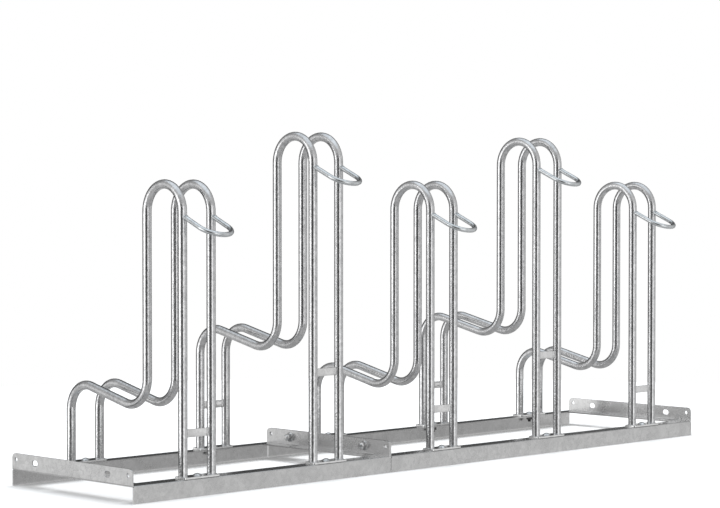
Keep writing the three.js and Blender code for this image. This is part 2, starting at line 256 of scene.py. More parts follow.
@dataclass(frozen=True)
class GalvanisedSteel:
    """Steel dipped in molten zinc: a bright metal skin with crystals, clouding and fine grain.

    The zinc sets in crystals that catch the light differently, so that a face looks cloudy from
    near by. Where it ran off a bar it is left finely lumpy, which breaks reflections into
    grains. Both are drawn as coarse as they need to be to show at this distance. Below the
    given height the colour is darkened as painted shade, so that nuts under a flange stay
    darker than heads on top.
    """

    name: str
    pale: str
    dark: str
    crystal_mm: float
    grain_mm: float
    cloud_mm: float
    crystal_share: float
    grain_share: float
    cloud_share: float
    smooth: float
    rough: float
    bump_mm: float
    # Painted shade: the height below which the colour is darkened, and the share it loses.
    painted_shade_below_mm: float = 0.0
    shade: float = 0.0

    def build(self) -> bpy.types.Material:
        """Makes the material.

        Returns:
            The finished material.
        """
        material = bpy.data.materials.new(self.name)
        tree = empty_tree(material)
        place = add_node(tree, "TexCoord").outputs["Object"]
        cells = {"Vector": place, "Scale": per_metre(self.crystal_mm), "Randomness": 1.0}
        crystals = add_node(tree, "TexVoronoi", cells, feature="F1")
        tones = add_node(tree, "SeparateColor", {"Color": crystals.outputs["Color"]})
        grain = self.noise(tree, place, self.grain_mm, Detail=3.0, Roughness=0.6)
        cloud = self.noise(
            tree, place, self.cloud_mm, Detail=4.0, Roughness=0.55, Distortion=0.6
        )
        tone = maths(tree, "MULTIPLY", tones.outputs["Red"], self.crystal_share)
        tone = maths(tree, "MULTIPLY_ADD", grain, self.grain_share, tone)
        tone = maths(tree, "MULTIPLY_ADD", cloud, self.cloud_share, tone)
        colour = blend(tree, tone, linear(self.dark), linear(self.pale))
        parts = add_node(tree, "SeparateXYZ", {"Vector": place})
        # Painted shade: below the given height the colour is scaled down, fading in over 3 mm.
        shade_top, shade_depth, middle_tones = self.painted_shade_below_mm * MM, 3.0 * MM, (0.25, 0.75)
        shade_span = (shade_top - shade_depth, shade_top)
        shaded = ranged(tree, parts.outputs["Z"], shade_span, (1.0 - self.shade, 1.0))
        skin = add_node(tree, "VectorMath", {0: colour, "Scale": shaded}, operation="SCALE")
        bumps = {"Height": grain, "Strength": 1.0, "Distance": self.bump_mm * MM}
        inputs = {
            "Base Color": skin.outputs[0],
            "Metallic": 1.0,
            "Roughness": ranged(tree, tone, middle_tones, (self.rough, self.smooth)),
            "Normal": add_node(tree, "Bump", bumps).outputs["Normal"],
        }
        shader = add_node(tree, "BsdfPrincipled", inputs)
        add_node(tree, "OutputMaterial", {"Surface": shader.outputs[0]})
        return material

    def noise(
        self, tree: NodeTree, place: NodeSocket, size_mm: float, **inputs: float
    ) -> NodeSocket:
        """Adds a cloudy pattern.

        Args:
            tree: The material's node tree.
            place: The place on the piece.
            size_mm: How wide one cloud is.
            inputs: The pattern's other inputs.

        Returns:
            Its level, from 0 to 1.
        """
        scaled = {"Vector": place, "Scale": per_metre(size_mm)}
        return add_node(tree, "TexNoise", scaled | inputs).outputs["Fac"]


FINISHES: dict[str, GalvanisedSteel] = {
    "tube": GalvanisedSteel(
        name="galvanised_drawn_tube",
        pale="f0f0f1", dark="8e8f90",
        crystal_mm=8.0, grain_mm=4.4, cloud_mm=38.0,
        crystal_share=0.2, grain_share=0.6, cloud_share=0.2,
        smooth=0.1, rough=0.24, bump_mm=0.45,
    ),
    "bar": GalvanisedSteel(
        name="galvanised_round_bar",
        pale="eef1f3", dark="95999b",
        crystal_mm=6.0, grain_mm=4.0, cloud_mm=30.0,
        crystal_share=0.2, grain_share=0.5, cloud_share=0.3,
        smooth=0.1, rough=0.22, bump_mm=0.25,
    ),
    "angle": GalvanisedSteel(
        name="galvanised_folded_angle",
        pale="e6e6e6", dark="a9a9a9",
        crystal_mm=9.0, grain_mm=3.0, cloud_mm=45.0,
        crystal_share=0.15, grain_share=0.35, cloud_share=0.5,
        smooth=0.2, rough=0.3, bump_mm=0.06,
    ),
    "flat": GalvanisedSteel(
        name="galvanised_flat_bar",
        pale="fafafa", dark="c8c8c8",
        crystal_mm=7.0, grain_mm=2.6, cloud_mm=24.0,
        crystal_share=0.25, grain_share=0.4, cloud_share=0.35,
        smooth=0.11, rough=0.19, bump_mm=0.05,
    ),
    "fastener": GalvanisedSteel(
        name="zinc_plated_fastener",
        pale="ffffff", dark="3c3d3e",
        crystal_mm=5.0, grain_mm=2.4, cloud_mm=9.0,
        crystal_share=0.45, grain_share=0.45, cloud_share=0.1,
        smooth=0.1, rough=0.2, bump_mm=0.25,
        # Painted shade: nuts hanging under the rail's flange are drawn darker than the heads.
        painted_shade_below_mm=33.0, shade=0.78,
    ),
}


# ------------------------------------------------------------------ mesh work


def verts_among(items: Iterable[object]) -> list[BMVert]:
    """The corners among some parts of a mesh."""
    return [item for item in items if isinstance(item, BMVert)]


def ends_of(edges: Iterable[BMEdge]) -> list[BMVert]:
    """The corners at the ends of some edges, each once and always in the same order."""
    return list(dict.fromkeys(vert for edge in edges for vert in edge.verts))


def edges_at(verts: Iterable[BMVert]) -> list[BMEdge]:
    """The edges at some corners, each once and always in the same order."""
    return list(dict.fromkeys(edge for vert in verts for edge in vert.link_edges))


class Shape:
    """A mesh in the making, in millimetres of the rack's own frame."""

    def __init__(self) -> None:
        """Starts with nothing."""
        self.bm = bmesh.new()

    def ring(
        self, centre: Vector, along: Vector, across: Vector, radius: float, sides: int
    ) -> list[BMEdge]:
        """Starts a round bar or tube.

        Args:
            centre: The ring's centre.
            along: The direction that the bar will run in.
            across: Where the first corner points, square to the run.
            radius: The ring's radius.
            sides: How many sides it has.

        Returns:
            The ring's edges.
        """
        turn = Matrix((across, along.cross(across), along)).transposed().to_4x4()
        place = Matrix.Translation(centre) @ turn
        made = bmesh.ops.create_circle(self.bm, segments=sides, radius=radius, matrix=place)
        return edges_at(made["verts"])

    def straight(self, edges: list[BMEdge], step: Vector) -> list[BMEdge]:
        """Runs a ring straight on.

        Args:
            edges: The ring's edges.
            step: How far and where it goes.

        Returns:
            The edges of the ring at the new end.
        """
        verts = verts_among(bmesh.ops.extrude_edge_only(self.bm, edges=edges)["geom"])
        bmesh.ops.translate(self.bm, verts=verts, vec=step)
        return self.edges_among(verts)

    def bend(
        self, edges: list[BMEdge], centre: Vector, axis: Vector, angle: float, per_turn: int
    ) -> list[BMEdge]:
        """Runs a ring round a bend.

        Args:
            edges: The ring's edges.
            centre: A point on the axis that it turns about.
            axis: The axis.
            angle: How far it turns, in radians, by the right-hand rule.
            per_turn: How many segments a whole turn would have.

        Returns:
            The edges of the ring at the bend's end.
        """
        fewest = 4
        steps = max(fewest, round(per_turn * abs(angle) / math.tau))
        return self.edges_among(
            self.spin([*ends_of(edges), *edges], centre, axis, angle, steps)
        )

    def spin(
        self,
        parts: Iterable[BMVert | BMEdge],
        centre: Vector,
        axis: Vector,
        angle: float,
        steps: int,
        merge: bool = False,
    ) -> list[BMVert]:
        """Turns corners and edges about an axis, and leaves edges and faces behind them.

        Args:
            parts: The corners and edges.
            centre: A point on the axis.
            axis: The axis.
            angle: How far they turn, in radians, by the right-hand rule.
            steps: How many segments that has.
            merge: Whether the end joins the start.

        Returns:
            The corners at the end.
        """
        made = bmesh.ops.spin(
            self.bm, geom=parts, cent=centre, axis=axis, angle=angle, steps=steps, use_merge=merge
        )
        return verts_among(made["geom_last"])

    def edges_among(self, verts: Iterable[BMVert]) -> list[BMEdge]:
        """The edges whose two ends are both among these corners."""
        ends = dict.fromkeys(verts)
        return [edge for edge in edges_at(ends) if set(edge.verts) <= ends.keys()]

    def close(self, edges: list[BMEdge]) -> None:
        """Fills a ring with one flat face."""
        bmesh.ops.edgeloop_fill(self.bm, edges=edges)

    def block(self, low: Vector, high: Vector) -> list[BMVert]:
        """Adds a block between two corners.

        Args:
            low: Its lowest corner.
            high: Its highest corner.

        Returns:
            Its corners.
        """
        size = high - low
        place = Matrix.Translation((low + high) / 2) @ Matrix.Diagonal(size).to_4x4()
        return bmesh.ops.create_cube(self.bm, size=1.0, matrix=place)["verts"]

    def cylinder(
        self,
        start: Vector,
        end: Vector,
        radius: float,
        sides: int,
        end_radius: float | None = None,
    ) -> list[BMVert]:
        """Adds a closed cylinder or cone between two points.

        Args:
            start: The centre of its first end.
            end: The centre of its other end.
            radius: The radius at its first end.
            sides: How many sides it has.
            end_radius: The radius at its other end, if that differs.

        Returns:
            Its corners.
        """
        run = end - start
        turn = Z_AXIS.rotation_difference(run.normalized()).to_matrix().to_4x4()
        return bmesh.ops.create_cone(
            self.bm,
            cap_ends=True,
            cap_tris=False,
            segments=sides,
            radius1=radius,
            radius2=radius if end_radius is None else end_radius,
            depth=run.length,
            matrix=Matrix.Translation((start + end) / 2) @ turn,
        )["verts"]

    def bevel(self, edges: Iterable[BMEdge], radius: float, segments: int) -> None:
        """Rounds edges.

        Args:
            edges: The edges.
            radius: How far from each edge the rounding starts.
            segments: How many strips it has.
        """
        bmesh.ops.bevel(
            self.bm, geom=list(edges), offset=radius, offset_type="OFFSET", segments=segments,
            profile=0.5, affect="EDGES", material=-1, clamp_overlap=True,
        )

    def sharp_edges(
        self, least_turn: float = 40.0, among: Iterable[BMVert] | None = None
    ) -> list[BMEdge]:
        """Finds the edges where the surface turns.

        Args:
            least_turn: The least angle that counts, in degrees.
            among: Where to look, if not everywhere.

        Returns:
            The edges.
        """
        edges = self.bm.edges if among is None else self.edges_among(among)
        limit = math.radians(least_turn)
        return [
            edge for edge in edges
            if len(edge.link_faces) == 2 and edge.calc_face_angle(0.0) > limit
        ]

    def along(self, direction: Vector, among: Iterable[BMVert]) -> list[BMEdge]:
        """The edges among these corners that run along a direction."""
        nearly = 0.999
        return [
            edge for edge in self.edges_among(among)
            if abs((edge.verts[1].co - edge.verts[0].co).normalized().dot(direction))
            > nearly
        ]

    def bead(
        self, centre: Vector, along: Vector, across: Vector, radius: float, size: float
    ) -> list[BMVert]:
        """Adds a ring of weld metal with the ripples of a hand-laid bead.

        Args:
            centre: The ring's centre.
            along: The direction of the bar that it goes round.
            across: A direction square to that.
            radius: From the bar's axis to the middle of the bead.
            size: The bead's own radius.

        Returns:
            The bead's corners.
        """
        steps, sides = 72, 10
        ripples, ripple, lumps, lump = 23, 0.13, 5, 0.6
        side = along.cross(across)
        edges = self.ring(centre + across * radius, side, across, size, sides)
        verts = ends_of(edges)
        before = set(self.bm.verts).difference(verts)
        self.spin([*verts, *edges], centre, along, math.tau, steps, merge=True)
        made = [vert for vert in self.bm.verts if vert not in before]
        for vert in made:
            offset = vert.co - centre
            angle = math.atan2(offset.dot(side), offset.dot(across))
            middle = centre + (across * math.cos(angle) + side * math.sin(angle)) * radius
            wave = math.sin(ripples * angle) + lump * math.sin(lumps * angle + radius)
            vert.co = middle + (vert.co - middle) * (1 + ripple * wave)
        return made

    def finish(
        self,
        replaces: str,
        finish: str,
        edge: float = 0.0,
        cutter: "Shape | None" = None,
    ) -> Object:
        """Turns the shape into a piece of the rack.

        Args:
            replaces: The solid that it stands for.
            finish: The name of its finish, whose material it is given.
            edge: The radius that sharp edges are eased to.
            cutter: What is cut out of it first.

        Returns:
            The finished piece.
        """
        name = f"{replaces}_finished"
        piece = self.to_object(name)
        if cutter is not None:
            tool = cutter.to_object(f"{name}_cutter")
            cut = piece.modifiers.new("holes", "BOOLEAN")
            cut.operation = "DIFFERENCE"
            cut.solver = "EXACT"
            cut.object = tool
            graph = bpy.context.evaluated_depsgraph_get()
            result = bpy.data.meshes.new_from_object(piece.evaluated_get(graph))
            piece.modifiers.clear()
            piece.data = result
            bpy.data.objects.remove(tool)
        sharp = math.radians(38)
        piece.data.shade_smooth()
        piece.data.set_sharp_from_angle(angle=sharp)
        if edge > 0:
            ease = piece.modifiers.new("eased_edges", "BEVEL")
            ease.width = edge * MM
            ease.segments = EASE_STEPS
            ease.limit_method = "ANGLE"
            ease.angle_limit = sharp
            ease.harden_normals = True
            piece.data.set_sharp_from_angle(angle=math.pi)
        piece.data.materials.clear()
        piece.data.materials.append(bpy.data.materials[FINISHES[finish].name])
        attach(piece, BODY)
        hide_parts(replaces)
        LOG.info("%s: %d faces", name, len(piece.data.polygons))
        return piece

    def to_object(self, name: str) -> Object:
        """Moves the mesh to the part's frame and makes an object of it.

        Args:
            name: The object's name.

        Returns:
            The object, at the origin.
        """
        bmesh.ops.remove_doubles(self.bm, verts=self.bm.verts, dist=SAME_PLACE)
        bmesh.ops.recalc_face_normals(self.bm, faces=self.bm.faces)
        place = Matrix.Translation(rack_origin()) @ Matrix.Scale(MM, 4)
        bmesh.ops.transform(self.bm, matrix=place, verts=self.bm.verts)
        mesh = bpy.data.meshes.new(name)
        self.bm.to_mesh(mesh)
        self.bm.free()
        return add_object(name, mesh)


# ------------------------------------------------------------------ wheel holders


@dataclass
class BentTube:
    """One of a holder's two tubes: front leg, hoop, lowest bend, slope, and rear leg."""

    node: str
    x: float
    height: Height
    bend_radius: float = 54.5
    saddle_underside: float = 161.5
    rear_top: float = 210.0
    bead_size: float = 1.0
    bead_rise: float = 0.2
    bead_swell: float = 0.1
    sides: int = ROUND_SIDES
    steps_per_turn: int = 56

    def build(self) -> Object:
        """Sweeps the tube along its route and welds its two ends to the plates.

        Returns:
            The finished piece.
        """
        radius, bend = SIZES.tube_radius, self.bend_radius
        lift = self.height.value
        front = Vector((self.x, SIZES.leg(Face.FRONT), SIZES.plate_top))
        hoop = front + Y_AXIS * bend
        hoop.z = SIZES.hoop_top + lift - radius - bend
        saddle = hoop + Y_AXIS * 2 * bend
        saddle.z = self.saddle_underside + lift + radius + bend
        rear = Vector((self.x, SIZES.leg(Face.REAR) - bend, self.rear_top + lift - radius - bend))
        centres = rear - saddle
        tilt = math.atan2(centres.z, centres.y)
        slope = tilt + math.asin(2 * bend / centres.length)
        slope_length = math.sqrt(centres.length**2 - (2 * bend) ** 2)
        uphill = Y_AXIS * math.cos(slope) + Z_AXIS * math.sin(slope)
        route = (
            (Z_AXIS * (hoop.z - front.z), hoop, -math.pi),
            (Z_AXIS * (saddle.z - hoop.z), saddle, math.pi / 2 + slope),
            (uphill * slope_length, rear, -math.pi / 2 - slope),
        )
        shape = Shape()
        ring = shape.ring(front, Z_AXIS, Y_AXIS, radius, self.sides)
        shape.close(ring)
        for step, centre, angle in route:
            ring = shape.straight(ring, step)
            ring = shape.bend(ring, centre, X_AXIS, angle, self.steps_per_turn)
        ring = shape.straight(ring, Z_AXIS * (SIZES.plate_top - rear.z))
        shape.close(ring)
        for face in Face:
            foot = Vector((self.x, SIZES.leg(face), SIZES.plate_top + self.bead_rise))
            shape.bead(foot, Z_AXIS, X_AXIS, radius + self.bead_swell, self.bead_size)
        return shape.finish(self.node, "tube")


@dataclass
class LockLoop:
    """The U-shaped bar at the front of a holder, that a lock goes through."""

    node: str
    x: float
    height: Height
    radius: float = 4.88
    leg_length: float = 54.5
    slope: float = math.radians(24)
    drop: float = 70.5
    bite: float = 1.5
    bead_size: float = 1.0
    bead_rise: float = 0.3
    bead_swell: float = 0.2
    sides: int = 32
    steps_per_turn: int = 72

    def build(self) -> Object:
        """Sweeps the bar from one front leg to the other.

        Returns:
            The finished piece.
        """
        outwards = -Y_AXIS * math.cos(self.slope) - Z_AXIS * math.sin(self.slope)
        root_z = SIZES.hoop_top + self.height.value - self.drop
        root = Vector((self.x, SIZES.leg(Face.FRONT), root_z))
        buried = SIZES.tube_radius - self.bite
        left = root - X_AXIS * SIZES.tube_offset
        shape = Shape()
        ring = shape.ring(
            left + outwards * buried, outwards, X_AXIS, self.radius, self.sides
        )
        shape.close(ring)
        ring = shape.straight(ring, outwards * (self.leg_length - buried))
        up = X_AXIS.cross(outwards)
        centre = root + outwards * self.leg_length
        ring = shape.bend(ring, centre, up, -math.pi, self.steps_per_turn)
        ring = shape.straight(ring, -outwards * (self.leg_length - buried))
        shape.close(ring)
        for side in (-1, 1):
            self.weld(shape, root + X_AXIS * side * SIZES.tube_offset, outwards)
        return shape.finish(self.node, "bar")

    def weld(self, shape: Shape, axis_point: Vector, outwards: Vector) -> None:
        """Lays a bead round the bar where it meets a leg, following the leg's round side.

        Args:
            shape: The loop so far.
            axis_point: Where the bar's axis crosses the leg's.
            outwards: The direction of the bar.
        """
        reach = (SIZES.tube_radius + self.bead_rise) / math.cos(self.slope)
        centre = axis_point + outwards * reach
        swollen = self.radius + self.bead_swell
        ring = shape.bead(centre, outwards, X_AXIS, swollen, self.bead_size)
        for vert in ring:
            aside = min(abs(vert.co.x - axis_point.x), SIZES.tube_radius)
            sink = SIZES.tube_radius - math.sqrt(SIZES.tube_radius**2 - aside**2)
            rise = (vert.co - centre).dot(X_AXIS.cross(outwards))
            vert.co -= outwards * (sink + rise * math.tan(self.slope))


@dataclass
class Strap:
    """The flat bar on its edge between a holder's two tubes."""

    node: str
    x: float
    y: float
    z: float
    height: float = 16.0
    thickness: float = 4.0
    edge: float = 0.5
    bead_size: float = 0.9
    bead_sink: float = 0.4
    bead_sides: int = 12

    def build(self) -> Object:
        """Makes the strap, with a bead down both sides of each end.

        Returns:
            The finished piece.
        """
        half = Vector(
            (SIZES.tube_offset - SIZES.tube_radius, self.thickness / 2, self.height / 2)
        )
        middle = Vector((self.x, self.y, self.z))
        shape = Shape()
        shape.block(middle - half, middle + half)
        shape.bevel(shape.sharp_edges(), self.edge, EASE_STEPS)
        reach = Z_AXIS * (half.z - self.edge)
        end_round, end_steps = self.bead_size * 0.6, 3
        for side in (-1, 1):
            for face in (-1, 1):
                place = middle + X_AXIS * side * (half.x - self.bead_sink) + Y_AXIS * face * half.y
                verts = shape.cylinder(
                    place - reach, place + reach, self.bead_size, self.bead_sides
                )
                shape.bevel(shape.sharp_edges(among=verts), end_round, end_steps)
        return shape.finish(self.node, "flat")


@dataclass
class FootPlate:
    """The plate that a pair of legs is welded to."""

    node: str
    x: float
    face: Face
    length: float = 93.5
    depth: float = 32.0
    face_inset: float = 0.5
    corner: float = 5.0
    edge: float = 0.6

    def build(self) -> Object:
        """Makes the plate with round corners and eased edges.

        Returns:
            The finished piece.
        """
        front = self.face is Face.FRONT
        edge_y = self.face_inset if front else SIZES.base_depth - self.face_inset
        far_y = edge_y + self.face.value * self.depth
        half = self.length / 2
        shape = Shape()
        verts = shape.block(
            Vector((self.x - half, min(edge_y, far_y), SIZES.plate_bottom)),
            Vector((self.x + half, max(edge_y, far_y), SIZES.plate_top)),
        )
        shape.bevel(shape.along(Z_AXIS, verts), self.corner, CORNER_STEPS)
        return shape.finish(self.node, "flat", self.edge)


def hexagon(
    shape: Shape, start: Vector, end: Vector, across_flats: float, chamfer: float
) -> None:
    """Adds a bolt head or nut with eased corners.

    Args:
        shape: The piece that it is part of.
        start: The centre of its first end.
        end: The centre of its other end.
        across_flats: The width across its flats.
        chamfer: How much its edges are eased.
    """
    radius = across_flats / 2 / math.cos(math.pi / 6)
    verts = shape.cylinder(start, end, radius, 6)
    shape.bevel(shape.sharp_edges(among=verts), chamfer, EASE_STEPS)


def thread(shape: Shape, start: Vector, end: Vector, radius: float, pitch: float) -> None:
    """Adds a threaded stretch of a bolt, as one ridge after another.

    Args:
        shape: The piece that it is part of.
        start: Where it leaves the nut.
        end: The bolt's end.
        radius: The radius over the ridges.
        pitch: From ridge to ridge.
    """
    run = end - start
    along = run.normalized()
    across = along.orthogonal().normalized()
    depth_share, sides = 0.45, 28
    ridges = max(1, int(run.length / pitch))
    step = run / ridges / 2
    root_scale = (radius - pitch * depth_share) / radius
    ring = shape.ring(start, along, across, radius, sides)
    shape.close(ring)
    for index in range(2 * ridges):
        ring = shape.straight(ring, step)
        centre = start + step * (index + 1)
        scale = root_scale if index % 2 == 0 else 1 / root_scale
        if index == 2 * ridges - 1:
            scale = 1.0
        space = Matrix.Translation(-centre)
        bmesh.ops.scale(shape.bm, vec=(scale,) * 3, space=space, verts=ends_of(ring))
    shape.close(ring)


@dataclass
class FootBolt:
    """The round-headed bolt through a foot plate, with its nut under the rail's flange."""

    node: str
    x: float
    face: Face
    radius: float = 4.0
    head_radius: float = 9.5
    head_height: float = 4.6
    nut_width: float = 13.0
    nut_height: float = 6.5
    flange_radius: float = 8.5
    flange_height: float = 1.5
    flange_edge: float = 0.5
    stand_out: float = 5.0
    chamfer: float = 0.6
    thread_pitch: float = 1.25

    def build(self) -> Object:
        """Makes the head, the nut and the end of the thread.

        Returns:
            The finished piece.
        """
        foot = Vector((self.x, SIZES.leg(self.face), 0.0))
        shape = Shape()
        self.dome(shape, foot + Z_AXIS * (SIZES.plate_top + SIZES.seat_gap))
        nut_top = foot + Z_AXIS * (SIZES.crossbar_bottom - SIZES.seat_gap)
        flange_bottom = nut_top - Z_AXIS * self.flange_height
        nut_bottom = flange_bottom - Z_AXIS * self.nut_height
        verts = shape.cylinder(nut_top, flange_bottom, self.flange_radius, ROUND_SIDES)
        shape.bevel(shape.sharp_edges(among=verts), self.flange_edge, EASE_STEPS)
        hexagon(shape, flange_bottom, nut_bottom, self.nut_width, self.chamfer)
        tip = nut_bottom - Z_AXIS * self.stand_out
        thread(shape, nut_bottom, tip, self.radius, self.thread_pitch)
        return shape.finish(self.node, "fastener")

    def dome(self, shape: Shape, base: Vector) -> None:
        """Spins the round head, as the first part of the bolt.

        Args:
            shape: The bolt, still empty.
            base: The middle of the head's underside.
        """
        cap = (self.head_radius**2 + self.head_height**2) / (2 * self.head_height)
        sweep = math.asin(self.head_radius / cap)
        centre = base + Z_AXIS * (self.head_height - cap)
        rim = base + X_AXIS * self.head_radius
        arc_steps = 9
        start = bmesh.ops.create_vert(shape.bm, co=rim)["vert"]
        shape.spin(start, centre, Y_AXIS, -sweep, arc_steps)
        arc = [*shape.bm.verts, *shape.bm.edges]
        shape.spin(arc, base, Z_AXIS, math.tau, ROUND_SIDES, merge=True)
        bmesh.ops.remove_doubles(shape.bm, verts=shape.bm.verts, dist=SAME_PLACE)
        rim_edges = [edge for edge in shape.bm.edges if len(edge.link_faces) == 1]
        shape.close(rim_edges)


@dataclass
class WheelHolder:
    """One holder: two tubes, a lock loop, one or two straps, two plates and two bolts."""

    number: int
    x: float
    front_strap: float = 123.5
    rear_strap: float = 132.0

    @property
    def height(self) -> Height:
        """Every second holder is a high one."""
        return Height.HIGH if self.number % 2 == 0 else Height.LOW

    def build(self) -> list[Object]:
        """Builds every piece of the holder.

        Returns:
            The finished pieces.
        """
        name = f"holder_{self.number}"
        offset, lift = SIZES.tube_offset, self.height.value
        parts: list[BentTube | LockLoop | Strap | FootPlate | FootBolt] = [
            BentTube(f"{name}_left_tube", self.x - offset, self.height),
            BentTube(f"{name}_right_tube", self.x + offset, self.height),
            LockLoop(f"{name}_lock_loop", self.x, self.height),
            Strap(f"{name}_front_strap", self.x, SIZES.leg(Face.FRONT), self.front_strap + lift),
        ]
        if self.height is Height.HIGH:
            parts.append(
                Strap(f"{name}_rear_strap", self.x, SIZES.leg(Face.REAR), self.rear_strap)
            )
        for face in Face:
            side = face.name.lower()
            parts.append(FootPlate(f"{name}_{side}_foot", self.x, face))
            parts.append(FootBolt(f"{name}_{side}_bolt", self.x, face))
        return [part.build() for part in parts]


# ------------------------------------------------------------------ base units


def folded_angle(
    shape: Shape, corner: Vector, leg_a: Vector, leg_b: Vector, length: float
) -> list[BMVert]:
    """Adds a length of angle steel with a rounded fold.

    Args:
        shape: The piece that it is part of.
        corner: The outside of the fold at the bar's start.
        leg_a: The direction of one leg.
        leg_b: The direction of the other leg.
        length: How far it runs, along the cross product of the two.

    Returns:
        The corners of the whole bar.
    """
    width, thick = SIZES.angle_leg, SIZES.angle_thickness
    fold_radius, inner_radius, fold_steps = 4.0, 1.0, 6
    outline = [(0, 0), (width, 0), (width, thick), (thick, thick), (thick, width), (0, width)]
    verts = [
        bmesh.ops.create_vert(shape.bm, co=corner + leg_a * a + leg_b * b)["vert"][0]
        for a, b in outline
    ]
    face = shape.bm.faces.new(verts)
    run = leg_a.cross(leg_b)
    made = bmesh.ops.extrude_face_region(shape.bm, geom=[face], use_keep_orig=True)["geom"]
    ends = verts_among(made)
    bmesh.ops.translate(shape.bm, verts=ends, vec=run * length)
    lengthways = shape.along(run, [*verts, *ends])
    for radius, a, b in ((fold_radius, 0.0, 0.0), (inner_radius, thick, thick)):
        place = corner + leg_a * a + leg_b * b
        edges = [
            edge for edge in lengthways
            if edge.is_valid and (edge.verts[0].co - place).cross(run).length < NEARLY
        ]
        shape.bevel(edges, radius, fold_steps)
    return list(shape.bm.verts)


@dataclass
class Rail:
    """The front or rear rail of a unit, with its flange on top pointing inwards."""

    node: str
    start: float
    end: float
    face: Face
    end_gap: float = 1.5
    edge: float = 0.45

    def build(self) -> Object:
        """Makes the rail.

        Returns:
            The finished piece.
        """
        top = SIZES.angle_leg
        shape = Shape()
        if self.face is Face.FRONT:
            corner, legs = Vector((self.start, 0.0, top)), (-Z_AXIS, Y_AXIS)
        else:
            corner, legs = Vector((self.start, SIZES.base_depth, top)), (-Y_AXIS, -Z_AXIS)
        folded_angle(shape, corner, *legs, self.end - self.start)
        return shape.finish(self.node, "angle", self.edge, self.notches(top))

    def notches(self, top: float) -> Shape:
        """Makes what is cut out of the rail's ends, where a crossbar's upright leg passes.

        Args:
            top: The height of the flange's upper side.

        Returns:
            A block at each end.
        """
        tools = Shape()
        lap = SIZES.angle_thickness + SIZES.seat_gap
        reach = Vector((lap - self.end_gap, SIZES.base_depth, lap))
        for x in (self.start, self.end):
            middle = Vector((x, SIZES.base_depth / 2, top))
            tools.block(middle - reach, middle + reach)
        return tools


@dataclass
class Crossbar:
    """The bar at one end of a unit, with its holes and its flat leg notched for the rails."""

    node: str
    x: float
    end: End
    end_gap: float = 2.0
    corner_radius: float = 10.0
    drain_radius: float = 4.5
    drain_inset: float = 13.5
    drain_drop: float = 12.5
    drain_sides: int = 32
    slot_height: float = 12.5
    slot_length: float = 19.0
    join_inset: float = 76.5
    join_drop: float = 15.5
    anchor_radius: float = 9.5
    anchor_inset: float = 17.0
    anchor_step: float = 28.0
    notch_gap: float = 0.3
    edge: float = 1.0

    @property
    def join_places(self) -> tuple[float, float]:
        """Y of the two joining slots' middles."""
        inset = self.end_gap + self.join_inset
        return inset, SIZES.base_depth - inset

    def build(self) -> Object:
        """Makes the crossbar.

        Returns:
            The finished piece.
        """
        length = SIZES.base_depth - 2 * self.end_gap
        corner = Vector((self.x, self.end_gap, SIZES.crossbar_bottom))
        legs = (Z_AXIS, X_AXIS) if self.end is End.LEFT else (-X_AXIS, Z_AXIS)
        shape = Shape()
        verts = folded_angle(shape, corner, *legs, length)
        top = SIZES.crossbar_bottom + SIZES.angle_leg
        upper = [vert for vert in verts if abs(vert.co.z - top) < NEARLY]
        shape.bevel(shape.along(X_AXIS, upper), self.corner_radius, CORNER_STEPS)
        return shape.finish(self.node, "angle", self.edge, self.holes(top))

    def holes(self, top: float) -> Shape:
        """Makes what is cut out of the bar.

        Args:
            top: The height of the bar's upper edge.

        Returns:
            The holes, the slots and the two notches.
        """
        tools = Shape()
        reach = 10.0
        far = SIZES.base_depth
        across = X_AXIS * reach
        for y in (self.end_gap + self.drain_inset, far - self.end_gap - self.drain_inset):
            centre = Vector((self.x, y, top - self.drain_drop))
            tools.cylinder(centre - across, centre + across, self.drain_radius, self.drain_sides)
        for y in self.join_places:
            centre = Vector((self.x, y, top - self.join_drop))
            radius = self.slot_height / 2
            verts = tools.cylinder(centre - across, centre + across, radius, ROUND_SIDES)
            for vert in verts:
                side = vert.co.y - y
                if abs(side) > NEARLY:
                    vert.co.y += math.copysign(self.slot_length / 2 - radius, side)
            anchor_x = self.x + self.end.value * self.anchor_inset
            down = Vector((anchor_x, y - self.anchor_step, SIZES.crossbar_bottom))
            deep = Z_AXIS * reach
            tools.cylinder(down - deep, down + deep, self.anchor_radius, ROUND_SIDES)
        inner = self.x + self.end.value * SIZES.angle_thickness
        outer = self.x + self.end.value * 2 * SIZES.angle_leg
        for near, other in (
            (-reach, SIZES.angle_leg + self.notch_gap),
            (far - SIZES.angle_leg - self.notch_gap, far + reach),
        ):
            tools.block(
                Vector((min(inner, outer), near, SIZES.crossbar_bottom - reach)),
                Vector((max(inner, outer), other, SIZES.crossbar_bottom + reach)),
            )
        return tools


